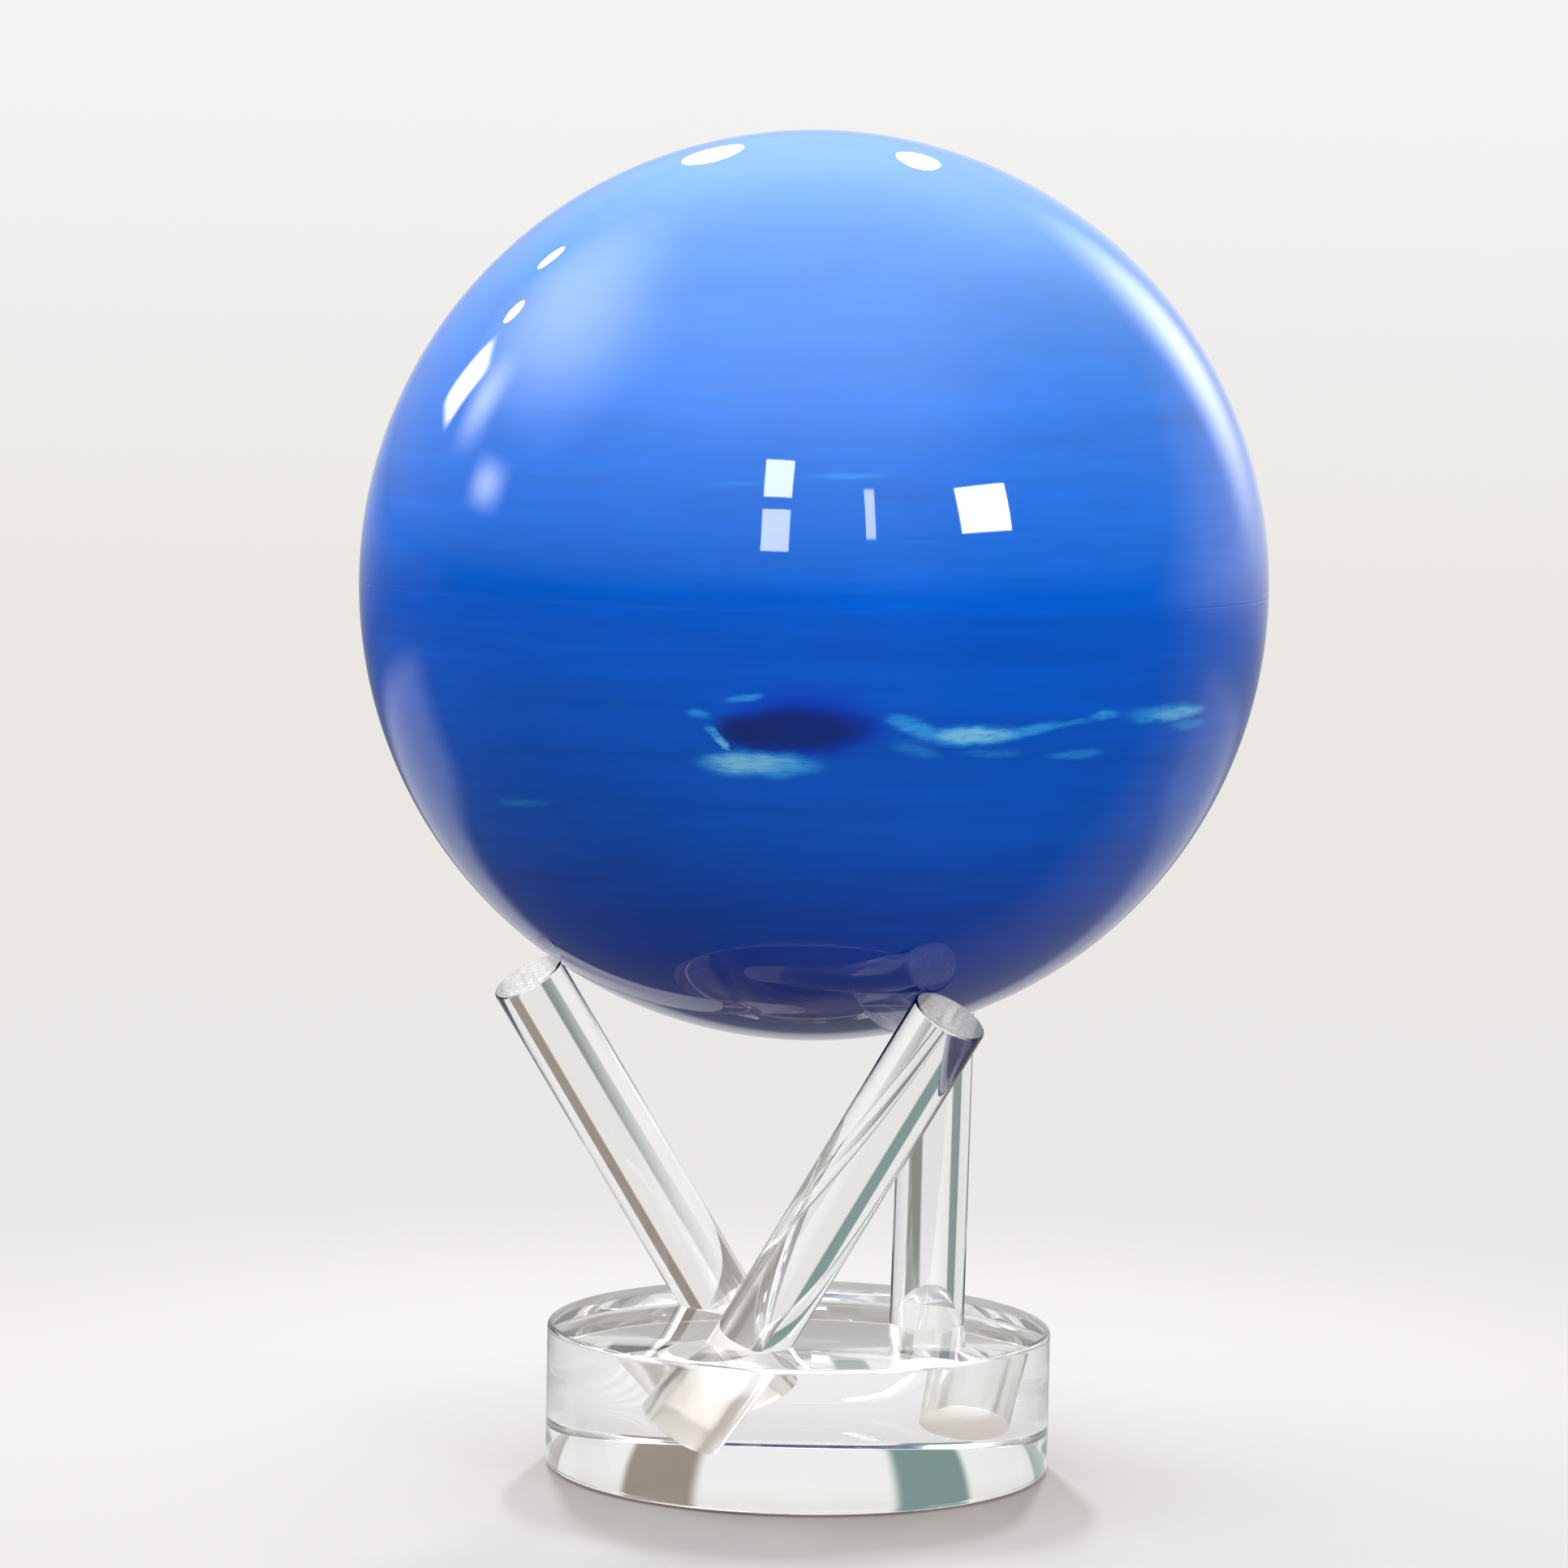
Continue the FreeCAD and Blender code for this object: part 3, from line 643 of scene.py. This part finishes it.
# Dark bands in the sweep, seen only through clear pieces: brown to the right, green to the left
FLAG_WARM = (0.31, 0.26, 0.22)
FLAG_COOL = (0.20, 0.30, 0.29)
FLAGS_ROUND = 8
FLOOR_PALE = (0.83, 0.81, 0.80)
SWEEP_PALE = (0.83, 0.80, 0.765)
WALL_PALE = (0.90, 0.90, 0.90)
# The floor takes shadows near the object and shines evenly beyond, in metres from the middle
FLOOR_SHADOWED, FLOOR_EVEN = 0.04, 0.22
ROOM_SEEN = 0.9


def camera():
    data = bpy.data.cameras.new("camera")
    data.lens = CAMERA_LENS
    data.sensor_width = 36.0
    data.clip_start = 0.01
    view = bpy.data.objects.new("camera", data)
    bpy.context.scene.collection.objects.link(view)
    away = Vector((0, -math.cos(CAMERA_ELEVATION), math.sin(CAMERA_ELEVATION)))
    look = (-away).to_track_quat("-Z", "Y").to_matrix().to_4x4()
    aim = Matrix.Rotation(CAMERA_TURN, 4, "Y") @ Matrix.Rotation(CAMERA_NOD, 4, "X")
    aim = aim @ Matrix.Rotation(CAMERA_ROLL, 4, "Z")
    view.matrix_world = Matrix.Translation(BALL_CENTRE + away * CAMERA_DISTANCE) @ look @ aim
    bpy.context.scene.camera = view


def fade_to_edges(data, share):
    """Make a square lamp dimmer towards its edges, like a cloth-fronted softbox."""
    s = Shader(data, "OutputLight")
    strength = 1.0
    for across in s.node("SeparateXYZ", {0: s.node("NewGeometry").outputs["Parametric"]}).outputs[:2]:
        from_edge = s.maths("MINIMUM", across, s.maths("SUBTRACT", 1.0, across))
        strength = s.maths("MULTIPLY", strength, s.remap(from_edge, 0.0, share / 2, smooth=True))
    s.finish(s.node("Emission", {"Strength": strength}).outputs[0])


def softbox(name, shape, azimuth, elevation, width, height, lean, brightness, fade):
    """A lamp that faces the ball. Brightness is its radiance, so its size doesn't change it."""
    data = bpy.data.lights.new(name, "AREA")
    data.shape = shape
    data.size = 2 * SOFTBOX_DISTANCE * math.tan(math.radians(width / 2))
    data.size_y = 2 * SOFTBOX_DISTANCE * math.tan(math.radians(height / 2))
    data.energy = brightness * math.pi * data.size * data.size_y
    if fade > 0:
        fade_to_edges(data, fade)
    lamp = bpy.data.objects.new(name, data)
    bpy.context.scene.collection.objects.link(lamp)
    a, e = math.radians(azimuth), math.radians(elevation)
    towards = Vector((math.sin(a) * math.cos(e), -math.cos(a) * math.cos(e), math.sin(e)))
    look = towards.to_track_quat("Z", "Y").to_matrix().to_4x4()
    leaning = Matrix.Rotation(math.radians(-lean), 4, "Z")
    lamp.matrix_world = Matrix.Translation(BALL_CENTRE + towards * SOFTBOX_DISTANCE) @ look @ leaning
    lamp.visible_camera = False
    lamp.visible_transmission = not name.startswith("rear_lamp")


def backdrop():
    """A pale round floor that sweeps up all round. Mirrors and soft bounces see the room instead."""
    profile = arc((FLOOR_RADIUS, SWEEP_BEND), SWEEP_BEND, -math.pi / 2, 0.0, SWEEP_STEPS)
    profile = [(0.0, 0.0)] + profile + [(FLOOR_RADIUS + SWEEP_BEND, SWEEP_HEIGHT)]
    floor = lathe("backdrop", profile, ARC_STEPS, capped=False)
    floor.location.z = -FLOOR_DROP
    s = new_material("pale_sweep")
    place = s.place()
    x, y, z = s.node("SeparateXYZ", {0: place}).outputs
    distance = s.node("VectorMath", {0: s.scaled(place, (1, 1, 0))}, operation="LENGTH").outputs["Value"]
    pale = s.mix(s.remap(distance, 0.3, 1.0, smooth=True), FLOOR_PALE, SWEEP_PALE)
    pale = s.mix(s.remap(z, 0.0, 0.25, smooth=True), pale, WALL_PALE)
    round_flags = s.maths("COSINE", s.maths("MULTIPLY", s.maths("ARCTAN2", x, y), FLAGS_ROUND))
    flags = s.maths("MULTIPLY", s.remap(round_flags, -0.35, -0.65, smooth=True),
                    s.node("LightPath").outputs["Is Transmission Ray"])
    flag_colour = s.mix(s.remap(x, -0.3, 0.3), FLAG_COOL, FLAG_WARM)
    far = s.node("Emission", {"Color": s.mix(flags, pale, flag_colour)}).outputs[0]
    near = s.node("BsdfDiffuse", {"Color": (*FLOOR_ALBEDO, 1.0)}).outputs[0]
    share = s.remap(distance, FLOOR_SHADOWED, FLOOR_EVEN, smooth=True)
    floor.data.materials.append(s.finish(s.node("MixShader", {0: share, 1: near, 2: far}).outputs[0]))
    floor.visible_glossy = False
    floor.visible_diffuse = False
    floor.visible_shadow = False


def room_light():
    """A room that is bright overhead, pale behind the object and dark behind the camera."""
    world = bpy.data.worlds.new("room")
    bpy.context.scene.world = world
    s = Shader(world, "OutputWorld")
    x, y, z = s.node("SeparateXYZ", {0: s.node("TexCoord").outputs["Generated"]}).outputs
    stops = [((math.sin(math.radians(e)) + 1) / 2, (b / BRIGHTEST,) * 3) for e, b in ROOM_GRADIENT]
    overhead = s.maths("MULTIPLY", s.ramp(s.remap(z, -1.0, 1.0), stops), BRIGHTEST)
    overhead = s.maths("MULTIPLY", overhead, s.remap(x, 0.3, 0.8, 1.0, RIGHT_SHADE, smooth=True))
    behind = s.remap(y, -0.05, 0.5, smooth=True)
    rear = s.maths("MULTIPLY", behind, s.remap(x, -0.7, 0.2, LEFT_GLOW_SHARE, 1.0))
    level = s.remap(z, -0.12, 0.02, REAR_TABLE_GLOW, REAR_GLOW, smooth=True)
    room = s.maths("MAXIMUM", overhead, s.maths("MULTIPLY", rear, level))
    table = s.maths("MULTIPLY", s.remap(z, -0.15, -0.22, smooth=True), s.remap(z, -0.50, -0.40, smooth=True))
    table = s.maths("MULTIPLY", table, s.remap(y, 0.40, 0.60, smooth=True))
    glow = s.remap(x, -0.5, 0.5, LEFT_TABLE_GLOW, RIGHT_TABLE_GLOW)
    room = s.maths("ADD", room, s.maths("MULTIPLY", table, glow))
    seen = s.node("LightPath").outputs["Is Camera Ray"]
    strength = s.node("Mix", {0: seen, 2: room, 3: ROOM_SEEN}).outputs[0]
    s.finish(s.node("Background", {"Color": (0.98, 0.99, 1.0, 1.0), "Strength": strength}).outputs[0])


def studio():
    scene = bpy.context.scene
    scene.view_settings.view_transform = "Standard"
    scene.cycles.caustics_reflective = False
    scene.cycles.caustics_refractive = False
    scene.cycles.max_bounces = 24
    scene.cycles.transmission_bounces = 20
    scene.cycles.glossy_bounces = 8
    scene.cycles.transparent_max_bounces = 24
    camera()
    room_light()
    backdrop()
    for settings in SOFTBOXES:
        softbox(*settings)


studio()
clear_ball()
printed_skins()
disc_clear = clear_acrylic("clear_disc", DISC_TINT, 0.02, DISC_LIGHT)
rod_clear = clear_acrylic("clear_rod", ROD_TINT, 0.02, ROD_LIGHT)
base_disc(disc_clear, drilled_acrylic())
support_rods(rod_clear, sawn_acrylic())
finish_inner_works()
